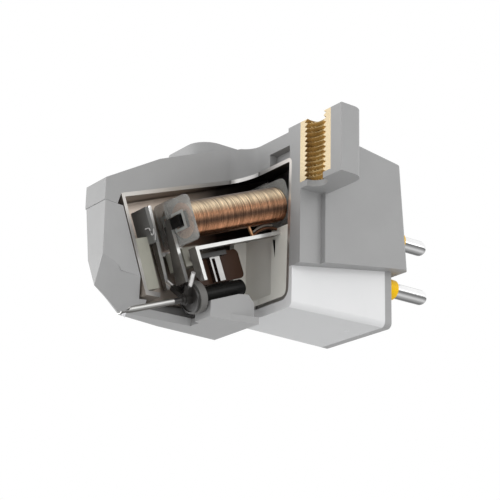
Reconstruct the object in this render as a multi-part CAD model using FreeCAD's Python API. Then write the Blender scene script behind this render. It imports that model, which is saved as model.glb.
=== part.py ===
import FreeCAD, Part
import os
from math import radians, sin, cos

# A pick-up cartridge with its near front quarter cut away, in millimetres.
# +Z is up, the stylus end points to -Y, the terminal pins to +Y.
# The origin lies midway between the two threaded inserts, on the face that meets the headshell.

V = FreeCAD.Vector

# How far a cut runs past what it cuts
past = 5.0

# Fixing to the headshell
mount_spacing = 12.7
insert_radius = 1.84
insert_length = 5.04
thread_radius = 1.02
thread_relief = 0.95

# Ears
ear_reach = 9.45
ear_height = 5.53
ear_back = 2.35
ear_front = 2.35
ear_corner = 1.1
pad_inner = 3.0
pad_rise = 0.32
shoulder_reach = 8.3
shoulder_front = 4.2
shoulder_depth = 2.3
shoulder_lip = 0.9
shoulder_corner = 1.0
shoulder_inner_corner = 1.8

# Body shell
nose_y = -14.3
nose_half = 3.1
cheek_y = -12.3
cheek_half = 4.25
waist_half = 4.6
waist_back = 2.05
waist_lap = 0.5
block_half = 5.12
block_back = 9.98
block_lean = 0.077
block_corner = 0.5
top_break_front = V(0, -9.2, -3.73)
top_break_rear = V(0, -3.6, -1.28)
top_break_mid = V(0, -0.9, -0.35)
nose_top_z = -6.77
block_top_back_z = -1.3
under_front_z = -11.72
under_back_z = -10.04
seam_z = -8.5
pocket_inner = 0.65
pocket_outer = 3.2
pocket_top = -1.5
pocket_low = -4.0
pocket_depth = 0.7

# Cutaway: square across the near insert, then forward along the middle of the nose
cut_y = 0.0
cut_nose_x = -0.3
cut_nose_y = -14.3
cut_rear_x = -2.51
cut_fillet = 1.65

# Lower housing and the plate that holds the lower pins
lower_front_half = 3.65
lower_back_half = 4.14
lower_back = 9.6
lower_bottom = -14.74
lower_edge = 0.45
plate_thickness = 0.65

# Terminal pins
pin_x = 3.1
pin_radius = 0.62
pin_root_radius = 0.38
pin_end = 14.15
pin_depth = 2.6
pin_upper_z = -6.95
pin_lower_z = -11.15
collar_radius = 0.82
collar_reach = 1.0
collar_depth = 0.5

# Stylus housing
unit_gap = 0.12
seam_gap = 0.02
housing_back = -1.5
housing_bottom = -16.0
housing_floor = 0.55
hall_front = -9.4
arch_front = (-15.3, 2.33, 0.3, -12.7)
arch_lip = (-13.2, 2.6, 0.35, -12.75)
arch_throat = (-12.4, 3.0, 0.7, -13.5)
arch_end = (-5.1, 2.4, 1.3, -13.7)
nose_plans = [
    (seam_z - seam_gap, [(3.0, -14.26), (4.22, -12.3), (4.4, -7.0), (4.6, -1.5)]),
    (-12.7, [(2.4, -14.22), (3.95, -12.2), (4.3, -7.0), (4.5, -1.5)]),
    (-14.8, [(1.5, -14.1), (3.55, -11.9), (4.1, -7.0), (4.3, -1.5)]),
    (-16.0, [(1.0, -12.6), (3.2, -10.9), (3.85, -7.0), (4.1, -1.5)]),
]
keel_half = 1.0
keel_step = 0.35
keel_fall_from = -7.8
keel_fall_to = -6.9
keel_fall = 0.2
keel_back_z = -14.25
floor_bend_x = -0.95
floor_bend_y = -10.0
floor_near_back = 1.66
floor_near_front = 0.6

# Shield can
tilt = 21.5
can_up = -2.37
can_front = -14.7
can_lip = -10.1
can_wall = 0.3
can_room = 0.25
can_edge_low = 0.8
can_edge_top = 0.45
bend_flats = 4
gap_drop = 0.74
gap_reach = 0.6
gap_height = 1.5
gap_half = 2.6
can_bottom = -14.0
can_bottom_front = -1.2
coil_room = 0.15
can_half_low = 3.3

# Coils, one per channel, in the tilted frame: across, along the axis, up
coil_across = 1.55
coil_length = 9.85
coil_radius = 1.38
flange_half = 1.48
flange_height = 3.5
flange_thickness = 0.3
flange_corner = 0.45
core_half = 0.42
core_wall = 0.22
near_coil_front = -11.78
near_coil_up = -5.55
far_coil_front = -10.4
far_coil_up = -5.13

# Pole pieces
pole_thickness = 0.28
near_pole_x = 1.25
near_pole_width = 0.9
near_pole_front = -11.5
near_pole_up = -7.72
near_pole_tip = -10.3
near_tip_chamfer = 0.5
far_pole_width = 0.53
far_pole_front = -11.6
far_pole_up = -7.1
far_pole_top = -3.4
far_pole_tip = -9.9
far_leg_top = 0.9
far_leg_tip = 0.38
inner_pole_near = 0.7
inner_pole_far_top = 0.0
inner_pole_slant = 0.25
inner_pole_gap = 0.2
inner_pole_far_tip = -0.6
inner_pole_tip = -10.0
inner_pole_back = 0.04
far_face_drop = 0.2

# Resin carriers and shields
front_carrier_top = -5.88
front_carrier_back = -13.2
front_block_top = -3.75
front_block_thickness = 0.3
front_block_near = -0.25
front_block_far = -2.15
front_block_lap = 0.6
rear_carrier_front = -1.0
rear_carrier_top = -8.0
slot_near = 1.52
slot_far = 1.18
slot_top = -8.75
slot_low = -10.4
slot_wall = 0.4
hollow_edge = 1.05
hollow_depth = 0.5
hollow_far_depth = 0.2
hollow_floor = 0.5
centre_carrier_height = 1.45
centre_carrier_front = -11.0
centre_carrier_back = -9.4
separator_x = -0.15
separator_thickness = 0.2
separator_front = -10.35
separator_back = -6.0
separator_top = -8.15
separator_low = -10.45
separator_corner = 0.4
clip_front = -9.15
clip_back = -8.2
clip_slot_front = -9.0
clip_slot_back = -8.7
clip_slot_top = -8.62
clip_depth = 0.42
clip_low = -10.4
stop_front = -10.6
stop_back = -7.6
stop_depth = 0.62
stop_height = 0.34

# Moving parts of the stylus unit
axis_up = -11.15
pivot_along = -11.0
sleeve_radius = 0.63
sleeve_front = -10.8
sleeve_back = -6.5
sleeve_bore = 0.2
sleeve_chamfer = 0.16
cradle = 0.06
ring_front = -11.52
ring_back = -10.9
ring_radius = 1.25
wire_radius = 0.1
wire_front = -11.9
wire_back = -9.6
wire_clearance = 0.09
holder_front = -11.78
holder_back = -11.6
holder_radius = 1.15
holder_rim = 0.14
holder_dish = 0.1
arm_half = 0.2
arm_front = -12.2
arm_reach_near = 1.15
arm_reach_far = 1.7
magnet_radius = 0.17
magnet_lean = 45
magnet_reach_near = 2.3
magnet_reach_far = 2.5
magnet_root = 0.6
boss_front = -13.25
boss_step = -12.45
boss_radius = 0.34
boss_nose_radius = 0.22
hub_radius = 0.46
cantilever_radius = 0.16
cantilever_bore = 0.09
cantilever_front = -18.1
cantilever_rise = 0.12
spoon_length = 0.9
spoon_level = -0.04
tip_along = -17.75
tip_half = 0.12
tip_drop = 0.5
tip_point = 0.012
shank_drop = 0.12


def box(x0, x1, y0, y1, z0, z1):
    return Part.makeBox(x1 - x0, y1 - y0, z1 - z0, V(x0, y0, z0))


def prism(points, axis, start, end):
    # A closed outline square to one axis, pushed along it.
    place = {"x": lambda a, b: V(start, a, b),
             "y": lambda a, b: V(a, start, b),
             "z": lambda a, b: V(a, b, start)}[axis]
    push = {"x": V(1, 0, 0), "y": V(0, 1, 0), "z": V(0, 0, 1)}[axis]
    wire = Part.makePolygon([place(a, b) for a, b in list(points) + [points[0]]])
    return Part.Face(wire).extrude(push * (end - start))


def rod(start, end, radius, radius_end=None):
    path = end - start
    if radius_end is None:
        return Part.makeCylinder(radius, path.Length, start, path)
    return Part.makeCone(radius, radius_end, path.Length, start, path)


def edges_along(shape, axis, test):
    found = []
    for edge in shape.Edges:
        if len(edge.Vertexes) != 2:
            continue
        run = edge.Vertexes[1].Point - edge.Vertexes[0].Point
        if run.Length < 1e-6 or abs(abs(run.normalize().dot(axis)) - 1) > 1e-3:
            continue
        if test(edge.CenterOfMass):
            found.append(edge)
    return found


def rounded(shape, radius, axis, test):
    return shape.makeFillet(radius, edges_along(shape, axis, test))


def tilted(shape):
    # From the coils' own frame (across, along, up) to the cartridge's frame.
    turned = shape.copy()
    turned.rotate(V(0, 0, 0), V(1, 0, 0), tilt)
    return turned


def yz(along, up):
    # A place in the coils' frame, as (y, z) in the cartridge's frame.
    a = radians(tilt)
    return (along * cos(a) - up * sin(a), along * sin(a) + up * cos(a))


def mirrored(points):
    return [(x, y) for x, y in points] + [(-x, y) for x, y in reversed(points)]


def cutaway():
    # The quarter that is removed from the casings.
    slope = (cut_nose_x - cut_rear_x) / (cut_nose_y - cut_y)
    far_y = nose_y - past
    far_x = cut_nose_x + slope * (far_y - cut_nose_y)
    side = ear_reach + past
    outline = [(cut_rear_x, cut_y), (side, cut_y), (side, far_y), (far_x, far_y)]
    cutter = prism(outline, "z", housing_bottom - past, past)
    return rounded(cutter, cut_fillet, V(0, 0, 1), lambda c: (c - V(cut_rear_x, cut_y, c.z)).Length < 0.1)


def body_plan():
    right = [(nose_half, nose_y), (cheek_half, cheek_y), (waist_half, housing_back),
             (waist_half, waist_back + waist_lap)]
    return mirrored(right)


def under_body():
    # Everything below the underside of the body shell, which rises towards the terminals.
    low = 2 * lower_bottom
    side = 2 * block_half
    outline = [(housing_back, low), (housing_back, under_front_z), (block_back, under_back_z),
               (block_back + past, under_back_z), (block_back + past, low)]
    behind = prism(outline, "x", -side, side)
    ahead = box(-side, side, nose_y - past, housing_back, low, seam_z)
    return behind.fuse(ahead)


def block_back_at(z):
    # The rear face leans: its lower edge stands further back.
    return block_back + (block_top_back_z - z) * block_lean


def over_body():
    # Everything above the channel and the sloping nose.
    outline = [(nose_y - past, nose_top_z - past), (nose_y, nose_top_z),
               (top_break_front.y, top_break_front.z), (top_break_rear.y, top_break_rear.z),
               (top_break_mid.y, top_break_mid.z), (ear_back, -pad_rise),
               (block_back, block_top_back_z), (block_back + past, block_top_back_z),
               (block_back + past, past), (nose_y - past, past)]
    return prism(outline, "x", -2 * block_half, 2 * block_half)


def ear(side):
    lug = box(pad_inner, ear_reach, -ear_front, ear_back, -ear_height, 0)
    lug = rounded(lug, ear_corner, V(0, 0, 1), lambda c: c.x > ear_reach - 0.1)
    slab = prism([(-shoulder_front, -shoulder_lip), (-shoulder_front, 0), (0, 0),
                  (0, -ear_height), (-ear_front, -shoulder_depth)], "x", pad_inner, shoulder_reach)
    slab = rounded(slab, shoulder_corner, V(0, 0, 1),
                   lambda c: c.x > shoulder_reach - 0.1 and c.y < -ear_front)
    slab = rounded(slab, shoulder_inner_corner, V(0, 0, 1),
                   lambda c: c.x < pad_inner + 0.1 and c.y < -ear_front)
    both = lug.fuse(slab).removeSplitter()
    return both if side > 0 else both.mirror(V(0, 0, 0), V(1, 0, 0))


def can_half_top():
    return coil_across + flange_half + coil_room + can_wall


def can_back():
    # Just behind the yoke of the far coil.
    yoke = yz(far_coil_front + coil_length + pole_thickness, far_pole_up - pole_thickness)
    return yoke[0] + can_room + can_wall


def bend(x, up, radius):
    # A rounded corner as short flats: from the wall at x round to the top at height up.
    turns = [radians(90 * i / bend_flats) for i in range(bend_flats + 1)]
    return [(x - radius * (1 - cos(turn)), up - radius * (1 - sin(turn))) for turn in turns]


def can_outer(grow=0.0):
    # The outside of the can: a tapering section, its long profile a folded sheet.
    front_top = yz(can_front - grow, can_up + grow)
    front_low = yz(can_front - grow, can_lip - grow)
    back = can_back() + grow
    a = radians(tilt)
    back_top = (back, (can_up + grow + back * sin(a)) / cos(a))
    low = can_bottom - grow
    profile = [front_top, front_low, (can_bottom_front, low), (back, low), back_top]
    side = prism(profile, "x", -2 * can_half_low, 2 * can_half_low)
    depth = can_up - can_lip
    slope = (can_half_top() - can_half_low) / depth
    wide = can_half_top() + grow
    curve = can_edge_top + grow
    top = can_up + grow
    right = [(wide - 2 * slope * depth, can_lip - depth)] + bend(wide, top, curve)
    section = mirrored(right + [(wide - curve, top + depth)])
    shell = side.common(tilted(prism(section, "y", 2 * can_front, -2 * can_front)))
    # The two lower corners of the rear floor.
    level = -can_bottom_front * sin(a) + low * cos(a)
    wall = wide + slope * (level - can_up)
    curve = can_edge_low + grow
    corner = [(x, low - (z - low)) for x, z in bend(wall, low, curve)]
    corner = corner + [(wall - curve, low - 1), (wall + 1, low - 1), (wall + 1, low + curve)]
    run = back + 1 - can_bottom_front
    shift = V(-slope * sin(a) * run, run, 0)
    for hand in (-1, 1):
        ring = [V(hand * x, can_bottom_front, z) for x, z in corner]
        push = V(hand * shift.x, shift.y, 0)
        shell = shell.cut(Part.Face(Part.makePolygon(ring + [ring[0]])).extrude(push))
    return shell


def shield_can():
    outer = can_outer()
    inner = can_outer(-can_wall)
    shell = outer.cut(inner)
    # The sheet is open below, from behind the foot under the front carrier to the rear floor.
    half = can_half_low - can_wall - coil_room
    foot = yz(front_carrier_back, can_lip)
    mouth = prism([(foot[0], can_bottom + 2 * can_wall), (foot[0], 2 * can_bottom),
                   (can_bottom_front, 2 * can_bottom), (can_bottom_front, can_bottom + 2 * can_wall)],
                  "x", -half, half)
    shell = shell.cut(mouth)
    return shell.cut(cutaway())


def insert(side):
    x = side * mount_spacing / 2
    sleeve = rod(V(x, 0, -insert_length), V(x, 0, 0), insert_radius)
    sleeve = sleeve.cut(rod(V(x, 0, -insert_length - 1), V(x, 0, 1), thread_radius))
    if side > 0:
        sleeve = sleeve.cut(cutaway())
    return sleeve


def insert_holes():
    holes = None
    for side in (-1, 1):
        x = side * mount_spacing / 2
        hole = rod(V(x, 0, -insert_length), V(x, 0, 1), insert_radius)
        hole = hole.fuse(rod(V(x, 0, -ear_height - 1), V(x, 0, -insert_length), thread_relief))
        holes = hole if holes is None else holes.fuse(hole)
    return holes


def pin_places():
    upper_back = block_back_at(pin_upper_z)
    return [(name, side * pin_x, z, back) for name, side, z, back in
            (("upper_left", 1, pin_upper_z, upper_back), ("upper_right", -1, pin_upper_z, upper_back),
             ("lower_left", 1, pin_lower_z, lower_back), ("lower_right", -1, pin_lower_z, lower_back))]


def pin(x, z, back):
    # A thinner root held in the casing, and a round-ended contact outside the collar.
    outline = [V(0, back - pin_depth, 0), V(pin_root_radius, back - pin_depth, 0),
               V(pin_root_radius, back + collar_reach, 0), V(pin_radius, back + collar_reach, 0),
               V(pin_radius, pin_end - pin_radius, 0)]
    edges = [Part.LineSegment(a, b).toShape() for a, b in zip(outline, outline[1:])]
    bend = V(pin_radius * cos(radians(45)), pin_end - pin_radius + pin_radius * sin(radians(45)), 0)
    edges.append(Part.Arc(outline[-1], bend, V(0, pin_end, 0)).toShape())
    edges.append(Part.LineSegment(V(0, pin_end, 0), outline[0]).toShape())
    shaft = Part.Face(Part.Wire(edges)).revolve(V(0, 0, 0), V(0, 1, 0), 360)
    shaft.translate(V(x, 0, z))
    return shaft


def collar(x, z, back):
    ring = rod(V(x, back - collar_depth, z), V(x, back + collar_reach, z), collar_radius)
    return ring.cut(rod(V(x, back - pin_depth, z), V(x, pin_end, z), pin_root_radius))


def pin_holes():
    holes = None
    for name, x, z, back in pin_places():
        hole = rod(V(x, back - pin_depth, z), V(x, back + 1, z), pin_root_radius)
        hole = hole.fuse(rod(V(x, back - collar_depth, z), V(x, back + 1, z), collar_radius))
        holes = hole if holes is None else holes.fuse(hole)
    return holes


def front_gap():
    # A narrow three-sided gap between the can's front fold and the nose, down to the seam.
    inner = can_front + can_wall / 2
    outer = can_front - gap_reach
    outline = [(inner, can_up - can_edge_top), (can_front, can_up), (outer, can_up - gap_drop),
               (outer, can_up - gap_height), (inner, can_up - gap_height)]
    return tilted(prism(outline, "x", -gap_half, gap_half))


def body_shell():
    low = under_front_z - 1
    fore = prism(body_plan(), "z", low, 1)
    block = prism([(waist_back, low), (waist_back, 1), (block_back_at(1), 1), (block_back_at(low), low)],
                  "x", -block_half, block_half)
    block = rounded(block, block_corner, V(0, -block_lean, 1).normalize(), lambda c: c.y > block_back - 1)
    shell = fore.fuse(block).cut(over_body())
    for side in (-1, 1):
        shell = shell.fuse(ear(side))
    shell = shell.cut(under_body()).removeSplitter()
    shell = shell.cut(can_outer()).cut(front_gap())
    shell = shell.cut(box(pocket_inner, pocket_outer, cut_y - 1, cut_y + pocket_depth,
                          pocket_low, pocket_top))
    shell = shell.cut(insert_holes()).cut(pin_holes())
    return shell.cut(cutaway())


def lower_plan(back):
    slope = (lower_back_half - lower_front_half) / (lower_back - cut_y)
    front = housing_back + unit_gap
    half_front = lower_front_half + slope * (front - cut_y)
    half_back = lower_front_half + slope * (back - cut_y)
    return [(-half_front, front), (half_front, front), (half_back, back), (-half_back, back)]


def lower_block():
    block = prism(lower_plan(lower_back), "z", lower_bottom, under_back_z + 1)
    block = block.common(under_body())
    low = [e for e in block.Edges if abs(e.CenterOfMass.z - lower_bottom) < 1e-4
           and abs(e.CenterOfMass.x) > 1]
    return block.makeFillet(lower_edge, low)


def lower_housing():
    front = box(-block_half, block_half, -past, lower_back - plate_thickness, 2 * lower_bottom, 0)
    shell = lower_block().common(front)
    return shell.cut(can_outer()).cut(pin_holes()).cut(cutaway())


def terminal_plate():
    rear = box(-block_half, block_half, lower_back - plate_thickness, lower_back + 1, 2 * lower_bottom, 0)
    return lower_block().common(rear).cut(pin_holes())


def level(points, z):
    # One closed plan, from its right half.
    ring = mirrored(points)
    return Part.makePolygon([V(x, y, z) for x, y in ring + [ring[0]]])


def stylus_outer():
    # Plans of the nose at falling heights.
    rings = [level(points, z) for z, points in nose_plans]
    return Part.makeLoft(rings, True, True)


def tunnel():
    # The arched way under the nose, in which the cantilever lies.
    rings = [arch(*place) for place in (arch_front, arch_lip, arch_throat, arch_end)]
    way = None
    for near, far in zip(rings, rings[1:]):
        span = Part.makeLoft([near, far], True, True)
        way = span if way is None else way.fuse(span)
    return way


def arch(y, low_half, top_half, top_z):
    low_z = housing_bottom - housing_floor
    ring = [V(-low_half, y, low_z), V(-top_half, y, top_z), V(top_half, y, top_z), V(low_half, y, low_z)]
    return Part.makePolygon(ring + [ring[0]])


def stylus_cavity():
    roof = can_outer(unit_gap)
    floor_top = housing_bottom + housing_floor
    hall = box(-can_half_low, can_half_low, hall_front, housing_back + 1, floor_top, seam_z)
    return roof.fuse(hall)


def keel():
    level = axis_up - sleeve_radius + cradle
    top_front = yz(ring_back + keel_step, level)
    outline = [top_front, (top_front[0], housing_bottom), (housing_back, housing_bottom),
               (housing_back, keel_back_z), yz(keel_fall_to, level - keel_fall), yz(keel_fall_from, level)]
    rib = prism(outline, "x", -keel_half, keel_half)
    return rib.cut(tilted(along_axis(ring_back, sleeve_back + past, sleeve_radius)))


def stylus_housing():
    shell = stylus_outer().cut(stylus_cavity()).cut(tunnel())
    near_cut = [(cut_nose_x, nose_y - past), (cut_nose_x, cut_nose_y), (floor_bend_x, floor_bend_y),
                (floor_near_front, arch_end[0]), (floor_near_back, housing_back + unit_gap),
                (floor_near_back, past), (ear_reach, past), (ear_reach, nose_y - past)]
    shell = shell.cut(prism(near_cut, "z", 2 * housing_bottom, 0))
    return shell.fuse(keel()).removeSplitter()


def square_tube(half, length):
    return box(-half, half, 0, length, -half, half)


def flange():
    plate = box(-flange_half, flange_half, 0, flange_thickness, -flange_height / 2, flange_height / 2)
    return rounded(plate, flange_corner, V(0, 1, 0), lambda c: True)


def bobbin(across, front, up):
    body = square_tube(core_half + core_wall, coil_length).fuse(flange())
    rear = flange()
    rear.translate(V(0, coil_length - flange_thickness, 0))
    body = body.fuse(rear).cut(square_tube(core_half, coil_length)).removeSplitter()
    body.translate(V(across, front, up))
    return tilted(body)


def winding(across, front, up):
    coil = rod(V(0, flange_thickness, 0), V(0, coil_length - flange_thickness, 0), coil_radius)
    coil = coil.cut(square_tube(core_half + core_wall, coil_length))
    coil.translate(V(across, front, up))
    return tilted(coil)


def inner_pole_left():
    # A flat strip between the magnets; its top turns back through the near coil as the core.
    front = near_coil_front - inner_pole_back - pole_thickness
    top = near_coil_up + core_half
    low = near_coil_up - core_half
    face = [(inner_pole_near, inner_pole_tip), (inner_pole_near, low), (coil_across + core_half, low),
            (coil_across + core_half, top), (inner_pole_far_top + inner_pole_slant, top),
            (inner_pole_far_top, low), (inner_pole_far_tip, inner_pole_tip)]
    strip = prism(face, "y", front, front + pole_thickness)
    core = box(coil_across - core_half, coil_across + core_half, front,
               near_coil_front + coil_length, low, low + pole_thickness)
    return tilted(strip.fuse(core).removeSplitter())


def outer_pole_left():
    x0 = near_pole_x
    x1 = near_pole_x + near_pole_width
    riser = near_coil_front + coil_length
    leg = prism([(x0, near_pole_up), (x1, near_pole_up), (x1, near_pole_tip),
                 (x0 + near_tip_chamfer, near_pole_tip), (x0, near_pole_tip + near_tip_chamfer)],
                "y", near_pole_front, near_pole_front + pole_thickness)
    run = box(x0, x1, near_pole_front, riser + pole_thickness, near_pole_up - pole_thickness, near_pole_up)
    yoke = box(x0, x1, riser, riser + pole_thickness, near_pole_up - pole_thickness, near_coil_up)
    return tilted(leg.fuse(run).fuse(yoke).removeSplitter())


def far_pole_x():
    return -(can_half_low - can_wall - coil_room)


def outer_pole_right():
    x0 = far_pole_x()
    x1 = x0 + far_pole_width
    riser = far_coil_front + coil_length
    leg = prism([(x0, far_pole_top), (x0 + far_leg_top, far_pole_top), (x0 + far_leg_tip, far_pole_tip),
                 (x0, far_pole_tip)], "y", far_pole_front, far_pole_front + pole_thickness)
    run = box(x0, x1, far_pole_front, riser + pole_thickness, far_pole_up - pole_thickness, far_pole_up)
    yoke = box(x0, -coil_across + core_half, riser, riser + pole_thickness,
               far_pole_up - pole_thickness, far_coil_up)
    return tilted(leg.fuse(run).fuse(yoke).removeSplitter())


def inner_pole_right():
    low = far_coil_up - core_half
    core = box(-coil_across - core_half, -coil_across + core_half, far_coil_front - pole_thickness,
               far_coil_front + coil_length, low, low + pole_thickness)
    face = box(-coil_across - core_half, inner_pole_far_tip - inner_pole_gap, far_coil_front - pole_thickness,
               far_coil_front, far_pole_up - far_face_drop, low + pole_thickness)
    return tilted(core.fuse(face).removeSplitter())


def front_carrier():
    inner = can_half_low - can_wall
    block = tilted(box(-inner, inner, can_front + can_wall, front_carrier_back,
                       can_lip + can_wall, front_carrier_top))
    return block.common(can_outer(-can_wall)).cut(cutaway())


def front_block():
    return tilted(box(front_block_far, front_block_near, front_carrier_back,
                      front_carrier_back + front_block_thickness,
                      front_carrier_top - front_block_lap, front_block_top))


def rear_carrier():
    low = can_bottom + can_wall
    rear_carrier_back = can_back() - can_wall
    profile = [(rear_carrier_front, low), (rear_carrier_back, low), (rear_carrier_back, rear_carrier_top),
               (rear_carrier_front, rear_carrier_top)]
    block = prism(profile, "x", -can_half_top(), can_half_top()).common(can_outer(-can_wall))
    block = block.cut(outer_pole_left()).cut(outer_pole_right())
    hollow = prism([(hollow_edge, cut_y), (hollow_edge, cut_y + hollow_depth),
                    (cut_rear_x, cut_y + hollow_far_depth), (cut_rear_x, 2 * rear_carrier_front),
                    (hollow_edge, 2 * rear_carrier_front)], "z", low + hollow_floor, rear_carrier_top)
    block = block.cut(hollow)
    slot = prism([(slot_far, slot_top), (slot_near, slot_top), (slot_near, slot_low)], "y",
                 cut_y - 1, rear_carrier_back - slot_wall)
    return block.cut(slot).cut(cutaway())


def centre_carrier():
    top = far_pole_up - far_face_drop
    block = box(far_pole_x() + far_pole_width, separator_x, centre_carrier_front, centre_carrier_back,
                top - centre_carrier_height, top)
    return tilted(block).cut(inner_pole_right()).cut(outer_pole_right())


def separator():
    plate = box(separator_x, separator_x + separator_thickness, separator_front, separator_back,
                separator_low, separator_top)
    return tilted(rounded(plate, separator_corner, V(1, 0, 0), lambda c: True))


def separator_clip():
    x0 = separator_x + separator_thickness
    outer = box(x0, x0 + clip_depth, clip_front, clip_back, clip_low, separator_top - stop_height)
    inner = box(x0 - 1, x0 + clip_depth + 1, clip_slot_front, clip_slot_back, clip_low - 1, clip_slot_top)
    return tilted(outer.cut(inner))


def separator_stop():
    x0 = separator_x + separator_thickness
    return tilted(box(x0, x0 + stop_depth, stop_front, stop_back, separator_top - stop_height, separator_top))


def along_axis(start, end, radius, radius_end=None):
    return rod(V(0, start, axis_up), V(0, end, axis_up), radius, radius_end)


def pivot_sleeve():
    sleeve = along_axis(sleeve_front, sleeve_back, sleeve_radius)
    rear = [e for e in sleeve.Edges if abs(e.CenterOfMass.y - sleeve_back) < 1e-6 and e.Length > 1]
    sleeve = sleeve.makeChamfer(sleeve_chamfer, rear)
    return tilted(sleeve.cut(along_axis(sleeve_front - 1, wire_back + wire_clearance, sleeve_bore)))


def damper_ring():
    ring = along_axis(ring_front, ring_back, ring_radius)
    return tilted(ring.cut(along_axis(ring_front - 1, ring_back + 1, wire_radius)))


def suspension_wire():
    return tilted(along_axis(wire_front, wire_back, wire_radius))


def leaned(shape, side):
    # Each channel's magnet leans to its own side.
    turned = shape.copy()
    turned.rotate(V(0, 0, 0), V(0, 1, 0), side * magnet_lean)
    turned.translate(V(0, 0, axis_up))
    return turned


def magnet_bar(side, reach):
    middle = (arm_front + holder_back) / 2
    return leaned(rod(V(0, middle, magnet_root), V(0, middle, reach), magnet_radius), side)


def magnet_holder():
    dish = along_axis(holder_front, holder_back, holder_radius)
    dish = dish.cut(along_axis(holder_front - 1, holder_front + holder_dish, holder_radius - holder_rim))
    body = dish.fuse(along_axis(arm_front, holder_back, hub_radius))
    body = body.fuse(along_axis(boss_step, arm_front, boss_radius))
    body = body.fuse(along_axis(boss_front, boss_step, boss_nose_radius))
    for side, reach in ((1, arm_reach_near), (-1, arm_reach_far)):
        body = body.fuse(leaned(box(-arm_half, arm_half, arm_front, holder_back, 0, reach), side))
    body = body.cut(along_axis(wire_front - wire_clearance, holder_back + 1, wire_radius + wire_clearance))
    body = body.cut(cantilever_rod(cantilever_radius))
    for side, reach in ((1, magnet_reach_near), (-1, magnet_reach_far)):
        body = body.cut(magnet_bar(side, reach))
    return tilted(body.removeSplitter())


def cantilever_rod(radius):
    return rod(V(0, cantilever_front, axis_up + cantilever_rise), V(0, arm_front, axis_up), radius)


def cantilever():
    # A thin tube whose front end is opened to a spoon.
    tube = cantilever_rod(cantilever_radius).cut(cantilever_rod(cantilever_bore))
    spoon = box(-1, 1, cantilever_front - 1, cantilever_front + spoon_length,
                axis_up + cantilever_rise + spoon_level, axis_up + 1)
    return tilted(tube.cut(spoon))


def stylus_tip():
    rise = axis_up + cantilever_rise * (arm_front - tip_along) / (arm_front - cantilever_front)
    seat = rise - cantilever_radius
    shank = box(-tip_half, tip_half, tip_along - tip_half, tip_along + tip_half,
                seat - shank_drop, seat + shank_drop)
    point = rod(V(0, tip_along, seat - shank_drop), V(0, tip_along, rise - tip_drop), tip_half, tip_point)
    return tilted(shank.fuse(point).cut(cantilever_rod(cantilever_radius)))


def build():
    near = (coil_across, near_coil_front, near_coil_up)
    far = (-coil_across, far_coil_front, far_coil_up)
    parts = {
        "body_shell": body_shell(),
        "insert_left": insert(1),
        "insert_right": insert(-1),
        "lower_housing": lower_housing(),
        "terminal_plate": terminal_plate(),
        "shield_can": shield_can(),
        "bobbin_left": bobbin(*near),
        "bobbin_right": bobbin(*far),
        "winding_left": winding(*near),
        "winding_right": winding(*far),
        "inner_pole_left": inner_pole_left(),
        "inner_pole_right": inner_pole_right(),
        "outer_pole_left": outer_pole_left(),
        "outer_pole_right": outer_pole_right(),
        "front_carrier": front_carrier(),
        "front_block": front_block(),
        "rear_carrier": rear_carrier(),
        "centre_carrier": centre_carrier(),
        "separator": separator(),
        "separator_clip": separator_clip(),
        "separator_stop": separator_stop(),
        "stylus_housing": stylus_housing(),
        "pivot_sleeve": pivot_sleeve(),
        "damper_ring": damper_ring(),
        "suspension_wire": suspension_wire(),
        "magnet_holder": magnet_holder(),
        "magnet_left": tilted(magnet_bar(1, magnet_reach_near)),
        "magnet_right": tilted(magnet_bar(-1, magnet_reach_far)),
        "cantilever": cantilever(),
        "stylus_tip": stylus_tip(),
    }
    for name, x, z, back in pin_places():
        parts["pin_" + name] = pin(x, z, back)
        parts["collar_" + name] = collar(x, z, back)
    return parts


os.makedirs("parts", exist_ok=True)
for node, shape in build().items():
    solids = shape.Solids
    if len(solids) == 1:
        shape = solids[0]
    size = shape.BoundBox
    print(node, "solids", len(solids), "valid", shape.isValid(), "volume %.3f" % shape.Volume,
          "x %.2f %.2f y %.2f %.2f z %.2f %.2f" % (size.XMin, size.XMax, size.YMin, size.YMax,
                                                   size.ZMin, size.ZMax))
    shape.exportStep("parts/" + node + ".step")
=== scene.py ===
import math
import random

import bmesh
import bpy
from mathutils import Matrix, Vector


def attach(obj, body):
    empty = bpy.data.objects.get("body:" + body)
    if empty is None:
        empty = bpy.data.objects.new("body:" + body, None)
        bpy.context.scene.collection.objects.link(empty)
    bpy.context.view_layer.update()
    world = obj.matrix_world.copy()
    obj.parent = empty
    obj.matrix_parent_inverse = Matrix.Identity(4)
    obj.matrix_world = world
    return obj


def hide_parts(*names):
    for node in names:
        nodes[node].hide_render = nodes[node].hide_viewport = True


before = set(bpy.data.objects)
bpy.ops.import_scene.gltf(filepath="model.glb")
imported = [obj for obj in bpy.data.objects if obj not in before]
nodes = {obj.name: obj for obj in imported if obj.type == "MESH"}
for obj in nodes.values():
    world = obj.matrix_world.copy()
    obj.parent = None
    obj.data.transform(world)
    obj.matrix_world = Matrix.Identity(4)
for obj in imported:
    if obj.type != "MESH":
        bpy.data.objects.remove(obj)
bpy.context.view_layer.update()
mm = 0.001
print("frame loaded:", len(nodes), "pieces")


# Camera: where it stands, in millimetres from a point below the mounting face.
cameraPlace = {
    "target": Vector((0.0, 0.0, -8.0)),
    "azimuth": math.radians(53.69),
    "elevation": math.radians(-19.24),
    "roll": math.radians(1.306),
    "distance": 119.556,
    "across": 1.061,
    "up": 1.239,
    "lens": 110.036,
    "sensor": 36.0,
}


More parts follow.
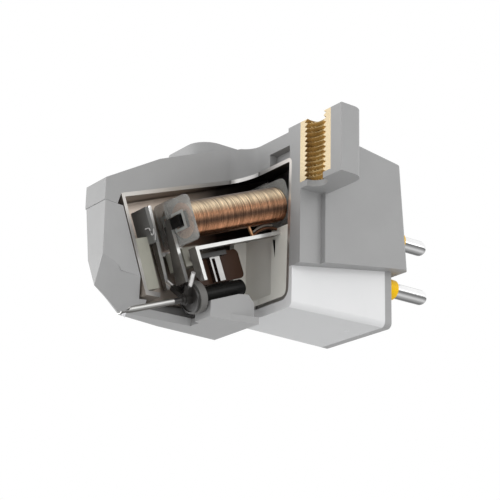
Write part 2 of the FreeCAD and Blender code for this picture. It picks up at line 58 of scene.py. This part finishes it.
def makeCamera(place):
    a, e, roll = place["azimuth"], place["elevation"], place["roll"]
    back = Vector((math.sin(a) * math.cos(e), -math.cos(a) * math.cos(e), math.sin(e)))
    level = Vector((math.cos(a), math.sin(a), 0.0))
    rise = back.cross(level)
    right = level * math.cos(roll) + rise * math.sin(roll)
    up = rise * math.cos(roll) - level * math.sin(roll)
    spot = place["target"] + back * place["distance"] - right * place["across"] - up * place["up"]
    data = bpy.data.cameras.new("camera")
    data.lens = place["lens"]
    data.sensor_width = place["sensor"]
    data.sensor_fit = "HORIZONTAL"
    data.clip_start = 0.005
    data.clip_end = 20.0
    camera = bpy.data.objects.new("camera", data)
    turn = Matrix((right, up, back)).transposed().to_4x4()
    camera.matrix_world = Matrix.Translation(spot * mm) @ turn
    bpy.context.scene.collection.objects.link(camera)
    bpy.context.scene.camera = camera


makeCamera(cameraPlace)
print("camera set")


# Surroundings: a white sky, a dim line at the horizon, a pale floor and soft lamps.
worldLook = {
    "steps": [(0.0, 0.6), (0.5, 0.6), (0.503, 0.36), (0.545, 0.36), (0.56, 1.0), (1.0, 1.0)],
    "strength": 1.0,
}
floorLook = {
    "size": 18.0, "height": -0.2,
    "material": {
        "name": "floor", "colours": ((0.6596, 0.6596, 0.6596), (0.68, 0.68, 0.68)),
        "roughness": (0.6, 0.7), "mottle": 9.0, "grain": 200.0, "bump": 0.05,
    },
}
lampLooks = [
    {"name": "front", "spot": (-0.10, -0.30, 0.02), "size": 0.16, "power": 0.24},
    {"name": "side", "spot": (0.32, -0.02, -0.04), "size": 0.24, "power": 0.21},
    {"name": "left", "spot": (-0.28, -0.20, -0.04), "size": 0.28, "power": 0.55},
    {"name": "right", "spot": (0.28, 0.18, 0.10), "size": 0.16, "power": 0.1},
]
lampTarget = Vector((0.0, 0.0, -0.008))


def makeWorld(look):
    world = bpy.data.worlds.new("studio")
    bpy.context.scene.world = world
    world.use_nodes = True
    tree = world.node_tree
    background = tree.nodes["Background"]
    background.inputs["Strength"].default_value = look["strength"]
    coords = tree.nodes.new("ShaderNodeTexCoord")
    split = tree.nodes.new("ShaderNodeSeparateXYZ")
    ramp = tree.nodes.new("ShaderNodeValToRGB")
    setRamp(ramp, [(spot, (grey, grey, grey)) for spot, grey in look["steps"]])
    tree.links.new(coords.outputs["Generated"], split.inputs[0])
    tree.links.new(fromTo(tree, split.outputs["Z"], -1.0, 1.0), ramp.inputs["Fac"])
    tree.links.new(ramp.outputs["Color"], background.inputs["Color"])


def setRamp(ramp, steps):
    stops = ramp.color_ramp.elements
    while len(stops) < len(steps):
        stops.new(0.5)
    for stop, (spot, colour) in zip(stops, steps):
        stop.position = spot
        stop.color = (*colour, 1.0)


def makeLamps(looks):
    for look in looks:
        data = bpy.data.lights.new(look["name"], "AREA")
        data.shape = "DISK"
        data.size = look["size"]
        data.energy = look["power"]
        lamp = bpy.data.objects.new(look["name"], data)
        lamp.location = look["spot"]
        aim = lampTarget - lamp.location
        lamp.rotation_euler = aim.to_track_quat("-Z", "Y").to_euler()
        bpy.context.scene.collection.objects.link(lamp)


# Materials: every one has its own fine grain, in object space.
bumpDepth = 0.02 * mm
grainDetail = 4.0
mottleDetail = 3.0
mottleEnds = (0.3, 0.7)
faceBlend = 0.01


def newMaterial(look):
    material = bpy.data.materials.new(look["name"])
    material.use_nodes = True
    tree = material.node_tree
    shader = tree.nodes["Principled BSDF"]
    for socket in ("Metallic", "IOR", "Alpha", "Transmission Weight", "Coat Weight", "Coat Roughness",
                   "Anisotropic", "Sheen Weight", "Subsurface Weight", "Subsurface Scale"):
        if socket in look:
            shader.inputs[socket].default_value = look[socket]
    coords = tree.nodes.new("ShaderNodeTexCoord")
    place = tree.nodes.new("ShaderNodeMapping")
    place.vector_type = "TEXTURE"
    place.inputs["Rotation"].default_value = look.get("turn", (0.0, 0.0, 0.0))
    place.inputs["Scale"].default_value = look.get("stretch", (1.0, 1.0, 1.0))
    tree.links.new(coords.outputs["Object"], place.inputs["Vector"])

    mottle = noiseNode(tree, place, look["mottle"], look.get("mottleDetail", mottleDetail))
    ramp = tree.nodes.new("ShaderNodeValToRGB")
    setRamp(ramp, list(zip(mottleEnds, look["colours"])))
    tree.links.new(mottle.outputs["Fac"], ramp.inputs["Fac"])
    colour = ramp.outputs["Color"]
    if "around" in look:
        colour = paintReflectionAround(tree, colour, *look["around"])
    if "fade" in look:
        colour = paintPast(tree, colour, coords, *look["fade"])
    if "faces" in look:
        colour = paintFaces(tree, colour, look["faces"])
    if "past" in look:
        colour = paintPast(tree, colour, coords, *look["past"])
    tree.links.new(colour, shader.inputs["Base Color"])

    sheen = tree.nodes.new("ShaderNodeMapRange")
    low, high = look["roughness"]
    sheen.inputs["To Min"].default_value = low
    sheen.inputs["To Max"].default_value = high
    tree.links.new(mottle.outputs["Fac"], sheen.inputs["Value"])
    tree.links.new(sheen.outputs["Result"], shader.inputs["Roughness"])

    grain = noiseNode(tree, place, look["grain"], grainDetail)
    bump = tree.nodes.new("ShaderNodeBump")
    bump.inputs["Strength"].default_value = look["bump"]
    bump.inputs["Distance"].default_value = bumpDepth
    tree.links.new(grain.outputs["Fac"], bump.inputs["Height"])
    tree.links.new(bump.outputs["Normal"], shader.inputs["Normal"])
    return material


def noiseNode(tree, place, scale, detail):
    noise = tree.nodes.new("ShaderNodeTexNoise")
    noise.inputs["Scale"].default_value = scale
    noise.inputs["Detail"].default_value = detail
    tree.links.new(place.outputs["Vector"], noise.inputs["Vector"])
    return noise


def alongAxis(tree, vector, axis):
    dot = tree.nodes.new("ShaderNodeVectorMath")
    dot.operation = "DOT_PRODUCT"
    dot.inputs[1].default_value = axis
    tree.links.new(vector, dot.inputs[0])
    return dot.outputs["Value"]


def fromTo(tree, value, low, high):
    # 0 at the low value, 1 at the high one.
    remap = tree.nodes.new("ShaderNodeMapRange")
    remap.inputs["From Min"].default_value = low
    remap.inputs["From Max"].default_value = high
    tree.links.new(value, remap.inputs["Value"])
    return remap.outputs["Result"]


def tinted(tree, colour, amount, tint):
    mix = tree.nodes.new("ShaderNodeMix")
    mix.data_type = "RGBA"
    mix.inputs["B"].default_value = (*tint, 1.0)
    tree.links.new(amount, mix.inputs["Factor"])
    tree.links.new(colour, mix.inputs["A"])
    return mix.outputs["Result"]


def paintFaces(tree, colour, faces):
    # A face that looks one way takes a colour of its own: on the brass inserts a sawn face's own colour,
    # on the other pieces painted highlights and painted shade.
    geometry = tree.nodes.new("ShaderNodeNewGeometry")
    for normal, tint, limit in faces:
        facing = alongAxis(tree, geometry.outputs["True Normal"], Vector(normal).normalized())
        colour = tinted(tree, colour, fromTo(tree, facing, limit, limit + faceBlend), tint)
    return colour


def paintReflectionAround(tree, colour, up, steps):
    # Painted reflection and shade: a round piece's colour changes from its lower side to its upper by the
    # way its surface faces, in bands of painted highlight and dark.
    geometry = tree.nodes.new("ShaderNodeNewGeometry")
    height = alongAxis(tree, geometry.outputs["Normal"], up)
    ramp = tree.nodes.new("ShaderNodeValToRGB")
    ramp.color_ramp.interpolation = "EASE"
    setRamp(ramp, steps)
    tree.links.new(fromTo(tree, height, -1.0, 1.0), ramp.inputs["Fac"])
    mix = tree.nodes.new("ShaderNodeMix")
    mix.data_type = "RGBA"
    mix.blend_type = "MULTIPLY"
    mix.inputs["Factor"].default_value = 1.0
    tree.links.new(colour, mix.inputs["A"])
    tree.links.new(ramp.outputs["Color"], mix.inputs["B"])
    return mix.outputs["Result"]


def paintPast(tree, colour, coords, axis, near, far, tint):
    # From near to far along the axis the colour turns into another.
    place = alongAxis(tree, coords.outputs["Object"], axis)
    return tinted(tree, colour, fromTo(tree, place, near, far), tint)


def makeFloor(look):
    half = look["size"] / 2
    mesh = bpy.data.meshes.new("floor")
    corners = [(-half, -half, look["height"]), (half, -half, look["height"]),
               (half, half, look["height"]), (-half, half, look["height"])]
    mesh.from_pydata(corners, [], [(0, 1, 2, 3)])
    floor = bpy.data.objects.new("floor", mesh)
    bpy.context.scene.collection.objects.link(floor)
    mesh.materials.append(newMaterial(look["material"]))


makeWorld(worldLook)
makeLamps(lampLooks)
makeFloor(floorLook)
bpy.context.scene.view_settings.view_transform = "Standard"
print("world, lamps and floor made")


# The tilted frame of the coils: across, along the cantilever, up.
tilt = math.radians(21.5)
tiltTurn = Matrix.Rotation(tilt, 4, "X")


def newPiece(name, mesh, body, material, smooth=True):
    piece = bpy.data.objects.new(name, mesh)
    bpy.context.scene.collection.objects.link(piece)
    mesh.materials.append(material)
    for face in mesh.polygons:
        face.use_smooth = smooth
    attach(piece, body)
    return piece


def joinRings(work, rings):
    for ring, after in zip(rings, rings[1:]):
        for side in range(len(ring)):
            beside = (side + 1) % len(ring)
            work.faces.new((ring[side], ring[beside], after[beside], after[side]))


def meshFrom(work, name):
    bmesh.ops.recalc_face_normals(work, faces=work.faces)
    mesh = bpy.data.meshes.new(name)
    work.to_mesh(mesh)
    work.free()
    return mesh


def sharpen(piece, degrees):
    # Shade smoothly across soft bends and keep the hard edges.
    work = bmesh.new()
    work.from_mesh(piece.data)
    for edge in work.edges:
        edge.smooth = len(edge.link_faces) == 2 and edge.calc_face_angle(0.0) < math.radians(degrees)
    work.to_mesh(piece.data)
    work.free()


def dress(names, look):
    material = newMaterial(look)
    for name in names:
        node = nodes[name]
        node.data.materials.clear()
        node.data.materials.append(material)
    return material


# Casings
shellLook = {
    "name": "shellGrey", "colours": ((0.306, 0.306, 0.306), (0.324, 0.324, 0.324)),
    "roughness": (0.42, 0.5), "IOR": 1.4, "mottle": 350.0, "grain": 9000.0, "bump": 0.12,
}
stylusLook = dict(shellLook, name="stylusGrey", colours=((0.324, 0.324, 0.324), (0.342, 0.342, 0.342)))
lowerLook = {
    "name": "lowerPale", "colours": ((0.67, 0.675, 0.68), (0.7, 0.7, 0.705)), "roughness": (0.22, 0.3),
    "IOR": 1.45, "mottle": 260.0, "grain": 6000.0, "bump": 0.05,
    # Painted shade: the faces turned downwards are painted darker than the sides.
    "faces": [((0.0, 0.0, -1.0), (0.535, 0.54, 0.545), 0.97)],
}
plateLook = dict(shellLook, name="plateGrey", colours=((0.318, 0.318, 0.318), (0.336, 0.336, 0.336)))
dress(["body_shell"], shellLook)
dress(["stylus_housing"], stylusLook)
dress(["lower_housing"], lowerLook)
dress(["terminal_plate"], plateLook)
print("casings dressed")


# Terminals
pinLook = {
    "name": "pinPlate", "colours": ((0.92, 0.92, 0.92), (1.0, 1.0, 1.0)), "roughness": (0.06, 0.12),
    "Metallic": 1.0, "mottle": 900.0, "grain": 9000.0, "bump": 0.03,
    # Painted reflection: by the way the surface faces, white on top, a dark line, grey below.
    "around": ((0.0, 0.0, 1.0),
               [(0.0, (0.16, 0.16, 0.16)), (0.06, (0.4, 0.4, 0.4)), (0.16, (0.8, 0.8, 0.8)),
                (0.34, (0.3, 0.3, 0.3)), (0.385, (0.16, 0.16, 0.16)), (0.4, (0.95, 0.95, 0.95)),
                (0.86, (0.95, 0.95, 0.95)), (0.9, (0.2, 0.2, 0.2))]),
}
collarLook = {
    "name": "amber", "colours": ((0.8, 0.46, 0.0), (0.9, 0.54, 0.005)), "roughness": (0.3, 0.4),
    "mottle": 700.0, "grain": 5000.0, "bump": 0.04, "IOR": 1.3,
}
pinNames = ["pin_%s_%s" % (row, side) for row in ("upper", "lower") for side in ("left", "right")]
dress(pinNames, pinLook)
dress([name.replace("pin", "collar") for name in pinNames], collarLook)
print("terminals dressed")


# Threaded inserts: a brass sleeve with a fine screw thread on its inner wall.
insertLook = {
    "outer": 1.84, "minor": 0.99, "major": 1.32, "length": 5.04, "spread": 6.35,
    "pitch": 0.405, "starts": 4, "steepness": 2.3, "perTurn": 8, "around": 60, "crease": 30.0,
    "material": {
        "name": "brass", "colours": ((0.44, 0.31, 0.14), (0.6, 0.44, 0.21)), "roughness": (0.2, 0.28),
        "Metallic": 0.75, "mottle": 1500.0, "grain": 7000.0, "bump": 0.06,
        "faces": [((0.0, -1.0, 0.0), (0.78, 0.64, 0.42), 0.98)],
    },
}


def threadProfile(turns, steepness):
    # Sharp root, flat crest: 0 at the crest, 1 at the root.
    part = turns % 1.0
    return max(0.0, 1.0 - abs(part - 0.5) * steepness)


def insertMesh(name, x, fromAngle, toAngle, look):
    closed = toAngle - fromAngle == 2 * math.pi
    columns = look["around"] if closed else look["around"] // 2
    rows = int(look["length"] / look["pitch"] * look["perTurn"])
    work = bmesh.new()
    inner, outer = [], []
    for column in range(columns if closed else columns + 1):
        angle = fromAngle + (toAngle - fromAngle) * column / columns
        ray = Vector((math.cos(angle), math.sin(angle), 0.0))
        wall, skin = [], []
        for row in range(rows + 1):
            z = -look["length"] * row / rows
            turns = z / look["pitch"] + look["starts"] * angle / (2 * math.pi)
            depth = threadProfile(turns, look["steepness"])
            radius = look["minor"] + (look["major"] - look["minor"]) * depth
            centre = Vector((x, 0.0, z))
            wall.append(work.verts.new((centre + ray * radius) * mm))
            skin.append(work.verts.new((centre + ray * look["outer"]) * mm))
        inner.append(wall)
        outer.append(skin)
    spans = len(inner) if closed else len(inner) - 1
    for column in range(spans):
        a, b = column, (column + 1) % len(inner)
        for row in range(rows):
            work.faces.new((inner[a][row], inner[a][row + 1], inner[b][row + 1], inner[b][row]))
            work.faces.new((outer[a][row], outer[b][row], outer[b][row + 1], outer[a][row + 1]))
        work.faces.new((inner[a][0], inner[b][0], outer[b][0], outer[a][0]))
        work.faces.new((inner[a][-1], outer[a][-1], outer[b][-1], inner[b][-1]))
    if not closed:
        for column, order in ((0, 1), (-1, -1)):
            for row in range(rows):
                corners = (inner[column][row], outer[column][row],
                           outer[column][row + 1], inner[column][row + 1])
                work.faces.new(corners[::order])
    return meshFrom(work, name)


def makeInserts(look):
    material = newMaterial(look["material"])
    for name, x, angles in (("insert_left", look["spread"], (0.0, math.pi)),
                            ("insert_right", -look["spread"], (0.0, 2 * math.pi))):
        mesh = insertMesh(name + "_thread", x, *angles, look)
        piece = newPiece(name + "_thread", mesh, "cartridge", material)
        sharpen(piece, look["crease"])
        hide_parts(name)


makeInserts(insertLook)
print("threaded inserts made")


# Coils: bobbins of smoky resin and windings of fine enamelled wire.
coilLook = {
    "across": 1.55, "length": 9.85, "flange": 0.3, "outer": 1.38, "hole": 0.64,
    "coils": [("left", 1.0, -11.78, -5.55), ("right", -1.0, -10.4, -5.13)],
    "rim": (0.72, 0.52, 0.09), "turns": 74, "perTurn": 6, "around": 72, "ridge": 0.03, "lumps": 0.004,
    "seeds": {"left": 7, "right": 11}, "endFacing": 0.9, "crease": 60.0,
    "material": {
        "name": "copperWire", "colours": ((0.38, 0.38, 0.38), (1.0, 1.0, 1.0)), "roughness": (0.2, 0.27),
        "Metallic": 0.95, "mottle": 2300.0, "mottleDetail": 1.0, "stretch": (4.0, 0.16, 4.0),
        "turn": (tilt, 0.0, 0.0), "grain": 5200.0, "bump": 0.2,
        # Painted reflection: highlight and dark bands round the winding, by the way its surface faces.
        "around": ((0.0, -math.sin(tilt), math.cos(tilt)),
                   [(0.0, (0.22, 0.11, 0.06)), (0.13, (0.9, 0.44, 0.24)), (0.31, (0.15, 0.085, 0.055)),
                    (0.48, (0.42, 0.22, 0.125)), (0.7, (1.0, 0.8, 0.55)), (0.93, (0.16, 0.11, 0.08))]),
    },
}
copperEndLook = {
    "name": "copperEnds", "colours": ((0.52, 0.30, 0.18), (0.66, 0.40, 0.26)), "roughness": (0.35, 0.45),
    "Metallic": 0.1, "mottle": 1500.0, "grain": 5200.0, "bump": 0.1,
}
bobbinLook = {
    "name": "smokyResin", "colours": ((0.30, 0.30, 0.285), (0.37, 0.37, 0.355)), "roughness": (0.16, 0.24),
    "Alpha": 0.5, "IOR": 1.3, "mottle": 500.0, "grain": 4000.0, "bump": 0.05,
}
rimLook = dict(bobbinLook, name="rimResin", colours=((0.36, 0.36, 0.34), (0.44, 0.44, 0.42)), Alpha=0.75)


def windingMesh(name, look):
    chance = random.Random(look["seeds"][name])
    rows = look["turns"] * look["perTurn"]
    start, end = look["flange"], look["length"] - look["flange"]
    drift = [chance.uniform(-1.0, 1.0) for turn in range(look["turns"] + 2)]
    work = bmesh.new()
    rings = []
    for row in range(rows + 1):
        along = start + (end - start) * row / rows
        turn, part = divmod(row, look["perTurn"])
        lump = look["lumps"] * (drift[turn] * (1 - part / look["perTurn"])
                                + drift[turn + 1] * part / look["perTurn"])
        groove = look["ridge"] * (1 - math.sin(math.pi * part / look["perTurn"]))
        radius = look["outer"] - look["lumps"] - groove + lump
        ring = []
        for column in range(look["around"]):
            angle = 2 * math.pi * column / look["around"]
            spot = Vector((radius * math.cos(angle), along, radius * math.sin(angle)))
            ring.append(work.verts.new(spot))
        rings.append(ring)
    joinRings(work, rings)
    for ring in (rings[0], rings[-1]):
        hole = [work.verts.new(vert.co) for vert in ring]
        for vert in hole:
            reach = max(abs(vert.co.x), abs(vert.co.z))
            vert.co.x *= look["hole"] / reach
            vert.co.z *= look["hole"] / reach
        for column in range(look["around"]):
            beside = (column + 1) % look["around"]
            work.faces.new((ring[column], ring[beside], hole[beside], hole[column]))
    return meshFrom(work, "winding_" + name)


def makeWindings(look):
    material = newMaterial(look["material"])
    ends = newMaterial(copperEndLook)
    for name, side, front, up in look["coils"]:
        mesh = windingMesh(name, look)
        endFaces = [face.index for face in mesh.polygons if abs(face.normal.y) > look["endFacing"]]
        place = tiltTurn @ Matrix.Translation(Vector((side * look["across"], front, up)))
        mesh.transform(Matrix.Scale(mm, 4) @ place)
        piece = newPiece("winding_%s_wire" % name, mesh, "cartridge", material)
        sharpen(piece, look["crease"])
        mesh.materials.append(ends)
        for index in endFaces:
            mesh.polygons[index].material_index = 1
        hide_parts("winding_" + name)


def rimMesh(name, look):
    # A low square frame on the bobbin's front flange, round the core hole.
    wide, narrow, proud = look["rim"]
    work = bmesh.new()
    rings = []
    for half, along in ((narrow, 0.0), (narrow, -proud), (wide, -proud), (wide, 0.0)):
        rings.append([work.verts.new(Vector((x * half, along, z * half)))
                      for x, z in ((-1, -1), (1, -1), (1, 1), (-1, 1))])
    joinRings(work, rings + rings[:1])
    return meshFrom(work, "rim_" + name)


def makeRims(look):
    material = newMaterial(rimLook)
    for name, side, front, up in look["coils"]:
        mesh = rimMesh(name, look)
        place = tiltTurn @ Matrix.Translation(Vector((side * look["across"], front, up)))
        mesh.transform(Matrix.Scale(mm, 4) @ place)
        piece = newPiece("bobbin_%s_rim" % name, mesh, "cartridge", material, smooth=False)


makeWindings(coilLook)
makeRims(coilLook)
dress(["bobbin_left", "bobbin_right"], bobbinLook)
print("coils made")


# Fine wires, each a line of points in the coils' frame: leads below the near coil, a clip ahead.
wireLooks = [
    {"name": "coil_lead_near", "radius": 0.13, "colours": ((0.30, 0.15, 0.07), (0.5, 0.28, 0.15)),
     "points": [(1.6, -5.55, -6.9), (1.62, -5.5, -7.3), (1.62, -5.45, -7.74)]},
    {"name": "coil_lead_low", "radius": 0.12, "colours": ((0.13, 0.07, 0.045), (0.24, 0.13, 0.08)),
     "points": [(1.55, -5.4, -7.7), (1.55, -4.9, -7.45), (1.55, -4.2, -7.25), (1.6, -3.4, -7.3),
                (1.65, -2.9, -7.5), (1.65, -2.6, -7.7)]},
    {"name": "coil_lead_high", "radius": 0.09, "colours": ((0.32, 0.31, 0.29), (0.45, 0.44, 0.42)),
     "points": [(1.5, -5.2, -7.35), (1.5, -4.6, -7.1), (1.5, -3.9, -7.0), (1.55, -3.2, -7.1)]},
    {"name": "front_clip", "radius": 0.05, "colours": ((0.5, 0.49, 0.48), (0.64, 0.63, 0.62)),
     "points": [(-0.2, -13.75, -5.42), (-0.2, -13.3, -5.36), (-0.2, -13.35, -5.95), (-0.2, -13.1, -5.9),
                (-0.2, -13.0, -5.45), (-0.2, -12.9, -5.6), (-0.2, -13.1, -6.35)]},
]
wireMetal = {"roughness": (0.25, 0.35), "Metallic": 0.9, "mottle": 1800.0, "grain": 7000.0, "bump": 0.05}
cornerCuts = 2
wireSides = 10


def softLine(points):
    # Cut the corners of a line, keeping its ends.
    for step in range(cornerCuts):
        cut = [points[0]]
        for near, far in zip(points, points[1:]):
            cut += [near.lerp(far, 0.25), near.lerp(far, 0.75)]
        points = cut + [points[-1]]
    return points


def tubeMesh(name, points, radius):
    work = bmesh.new()
    rings = []
    for spot, point in enumerate(points):
        ahead = points[min(spot + 1, len(points) - 1)] - points[max(spot - 1, 0)]
        turn = ahead.to_track_quat("Y", "X")
        ring = []
        for side in range(wireSides):
            angle = 2 * math.pi * side / wireSides
            offset = turn @ Vector((radius * math.cos(angle), 0.0, radius * math.sin(angle)))
            ring.append(work.verts.new(point + offset))
        rings.append(ring)
    joinRings(work, rings)
    work.faces.new(rings[0])
    work.faces.new(rings[-1][::-1])
    return meshFrom(work, name)


def makeWires(looks):
    for look in looks:
        points = softLine([Vector(point) for point in look["points"]])
        mesh = tubeMesh(look["name"], points, look["radius"])
        mesh.transform(Matrix.Scale(mm, 4) @ tiltTurn)
        material = newMaterial(dict(wireMetal, name=look["name"], colours=look["colours"]))
        piece = newPiece(look["name"], mesh, "cartridge", material)


makeWires(wireLooks)
print("fine wires made")


# Shield can and pole pieces
canLook = {
    "name": "canSheet", "colours": ((0.43, 0.37, 0.32), (0.56, 0.49, 0.43)), "roughness": (0.28, 0.4),
    "Metallic": 0.85, "mottle": 500.0, "stretch": (1.0, 7.0, 1.0), "turn": (tilt, 0.0, 0.0),
    "grain": 4200.0, "bump": 0.12,
    # Painted highlights: the cut edges and the bend of the sheet are painted lighter.
    "faces": [((14.3, 2.21, 0.0), (0.5, 0.5, 0.49), 0.992), ((0.0, -1.0, 0.0), (0.85, 0.84, 0.82), 0.995),
              ((0.75, -0.66, 0.0), (0.7, 0.69, 0.67), 0.78)],
    # Painted shade: the inside turns dark towards the rear.
    "fade": ((-1.0, 1.0, 0.0), -3.2 * mm, 0.8 * mm, (0.03, 0.025, 0.022)),
}
poleLook = {
    "name": "poleSheet", "colours": ((0.1, 0.092, 0.085), (0.16, 0.15, 0.14)), "roughness": (0.2, 0.28),
    "Metallic": 0.6, "mottle": 900.0, "grain": 5200.0, "bump": 0.08,
    # Painted highlight: the faces turned to +X are painted lighter.
    "faces": [((1.0, 0.0, 0.0), (0.45, 0.45, 0.44), 0.9)],
}
dress(["shield_can"], canLook)
# The near strip's head, behind the bobbin's hole, is painted black as painted shade in the hole.
stripLook = dict(poleLook, name="stripSheet",
                 past=((1.0, 0.0, 0.0), 0.8 * mm, 0.82 * mm, (0.006, 0.006, 0.006)))
# Painted light: the far pole's +X edges, which lie in shade, are painted near white.
farPoleLook = dict(poleLook, name="farPoleSheet", faces=[((1.0, 0.0, 0.0), (0.95, 0.95, 0.94), 0.9)])
dress(["inner_pole_right", "outer_pole_left"], poleLook)
dress(["outer_pole_right"], farPoleLook)
dress(["inner_pole_left"], stripLook)
print("can and poles dressed")


# Resin blocks, separator and clips inside the can
carrierLook = {
    "name": "paleResin", "colours": ((0.335, 0.33, 0.28), (0.375, 0.37, 0.315)),
    "roughness": (0.4, 0.5), "IOR": 1.4, "mottle": 420.0, "grain": 6000.0, "bump": 0.1,
}
charcoalLook = {
    "name": "charcoal", "colours": ((0.12, 0.12, 0.115), (0.155, 0.155, 0.15)), "roughness": (0.35, 0.5),
    "mottle": 500.0, "grain": 5000.0, "bump": 0.1,
}
separatorLook = {
    "name": "brownSheet", "colours": ((0.03, 0.013, 0.007), (0.05, 0.024, 0.014)),
    "roughness": (0.3, 0.42), "IOR": 1.22, "mottle": 420.0, "grain": 5000.0, "bump": 0.08,
}
clipLook = {
    "name": "clipSheet", "colours": ((0.2, 0.196, 0.192), (0.3, 0.296, 0.29)), "roughness": (0.2, 0.3),
    "Metallic": 1.0, "mottle": 900.0, "grain": 6000.0, "bump": 0.05,
}
blackLook = {
    "name": "blackResin", "colours": ((0.012, 0.011, 0.010), (0.022, 0.020, 0.018)),
    "roughness": (0.3, 0.42), "mottle": 600.0, "grain": 6000.0, "bump": 0.08,
}
# Painted light and shade: the resin is painted lighter so its recess reads lit, the faces turned to -Y are
# painted back darker, and the slanted side is painted black as painted shade in the slot.
rearCarrierLook = dict(carrierLook, name="rearResin",
                       colours=((0.74, 0.73, 0.68), (0.8, 0.79, 0.74)),
                       faces=[((0.0, -1.0, 0.0), (0.56, 0.555, 0.48), 0.998),
                              ((0.979, 0.0, 0.202), (0.005, 0.005, 0.005), 0.99)])
dress(["front_carrier", "centre_carrier"], carrierLook)
dress(["rear_carrier"], rearCarrierLook)
dress(["front_block"], charcoalLook)
dress(["separator"], separatorLook)
dress(["separator_clip"], clipLook)
dress(["separator_stop"], blackLook)
print("blocks and separator dressed")


# Stylus unit
holderLook = dict(blackLook, name="holderBlack",
                  colours=((0.014, 0.013, 0.012), (0.03, 0.027, 0.025)))
sleeveLook = dict(blackLook, name="sleeveBlack",
                  colours=((0.006, 0.006, 0.006), (0.011, 0.011, 0.010)),
                  roughness=(0.24, 0.3), bump=0.02, IOR=1.2)
damperLook = {
    "name": "damperRubber", "colours": ((0.115, 0.112, 0.106), (0.14, 0.137, 0.13)),
    "roughness": (0.5, 0.62), "mottle": 700.0, "grain": 6000.0, "bump": 0.12,
}
magnetLook = {
    "name": "magnetAlloy", "colours": ((0.66, 0.65, 0.64), (0.84, 0.83, 0.82)), "roughness": (0.2, 0.3),
    "Metallic": 0.7, "mottle": 1200.0, "grain": 7000.0, "bump": 0.06,
}
tubeLook = {
    "name": "tubeAlloy", "colours": ((0.62, 0.62, 0.61), (0.75, 0.75, 0.74)), "roughness": (0.36, 0.46),
    "Metallic": 0.9, "mottle": 900.0, "stretch": (1.0, 10.0, 1.0), "turn": (tilt, 0.0, 0.0),
    "grain": 6000.0, "bump": 0.05,
    # Painted reflection and shade: dark below, a highlight band above, by the way the surface faces; the
    # suspension wire takes the same.
    "around": ((0.0, -math.sin(tilt), math.cos(tilt)),
               [(0.0, (0.12, 0.11, 0.1)), (0.1, (0.2, 0.19, 0.18)), (0.3, (0.55, 0.55, 0.54)),
                (0.62, (0.95, 0.95, 0.94)), (0.9, (0.4, 0.39, 0.37))]),
}
cantileverLook = {
    "back": -13.22, "front": -18.1, "up": -11.15, "rise": 0.12, "rootAt": -12.2,
    "radius": 0.235, "wall": 0.06, "spoonFrom": -17.0, "spoonWide": 0.3, "spoonHigh": 0.15,
    "openFrom": 1.0, "openTo": 100.0, "openSoon": 3.0, "stations": 40, "around": 40, "crease": 40.0,
}
wireLook = dict(tubeLook, name="wireSteel")
tipLook = {
    "name": "tipStone", "colours": ((0.7, 0.7, 0.72), (0.8, 0.8, 0.82)), "roughness": (0.3, 0.4),
    "Transmission Weight": 0.2, "IOR": 1.5, "mottle": 2000.0, "grain": 9000.0, "bump": 0.02,
}
dress(["magnet_holder"], holderLook)
dress(["pivot_sleeve"], sleeveLook)
dress(["damper_ring"], damperLook)
dress(["magnet_left", "magnet_right"], magnetLook)


def cantileverMesh(look):
    # A rolled tube whose front end is opened and flattened to a spoon.
    work = bmesh.new()
    rings = []
    for step in range(look["stations"] + 1):
        along = look["back"] + (look["front"] - look["back"]) * step / look["stations"]
        climb = (along - look["rootAt"]) / (look["front"] - look["rootAt"])
        centre = Vector((0.0, along, look["up"] + look["rise"] * climb))
        spoon = min(1.0, max(0.0, (along - look["spoonFrom"]) / (look["front"] - look["spoonFrom"])))
        wide = look["radius"] + (look["spoonWide"] - look["radius"]) * spoon
        high = look["radius"] + (look["spoonHigh"] - look["radius"]) * spoon
        opened = min(1.0, spoon * look["openSoon"])
        gap = math.radians(look["openFrom"] + (look["openTo"] - look["openFrom"]) * opened)
        turns = [math.pi / 2 + gap + (2 * math.pi - 2 * gap) * side / look["around"]
                 for side in range(look["around"] + 1)]
        outer = [(wide, high, turn) for turn in turns]
        inner = [(wide - look["wall"], high - look["wall"], turn) for turn in reversed(turns)]
        rings.append([work.verts.new(centre + Vector((a * math.cos(turn), 0.0, b * math.sin(turn))))
                      for a, b, turn in outer + inner])
    joinRings(work, rings)
    for ring in (rings[0], rings[-1]):
        last = len(ring) - 1
        for side in range(look["around"]):
            work.faces.new((ring[side], ring[side + 1], ring[last - side - 1], ring[last - side]))
    return meshFrom(work, "cantilever_tube")


def makeCantilever(look):
    mesh = cantileverMesh(look)
    mesh.transform(Matrix.Scale(mm, 4) @ tiltTurn)
    piece = newPiece("cantilever_tube", mesh, "stylus", newMaterial(tubeLook))
    sharpen(piece, look["crease"])
    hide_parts("cantilever")


makeCantilever(cantileverLook)
dress(["suspension_wire"], wireLook)
dress(["stylus_tip"], tipLook)
print("stylus unit dressed")


def corners(box):
    return [[round(float(value), 6) for value in corner] for corner in box]
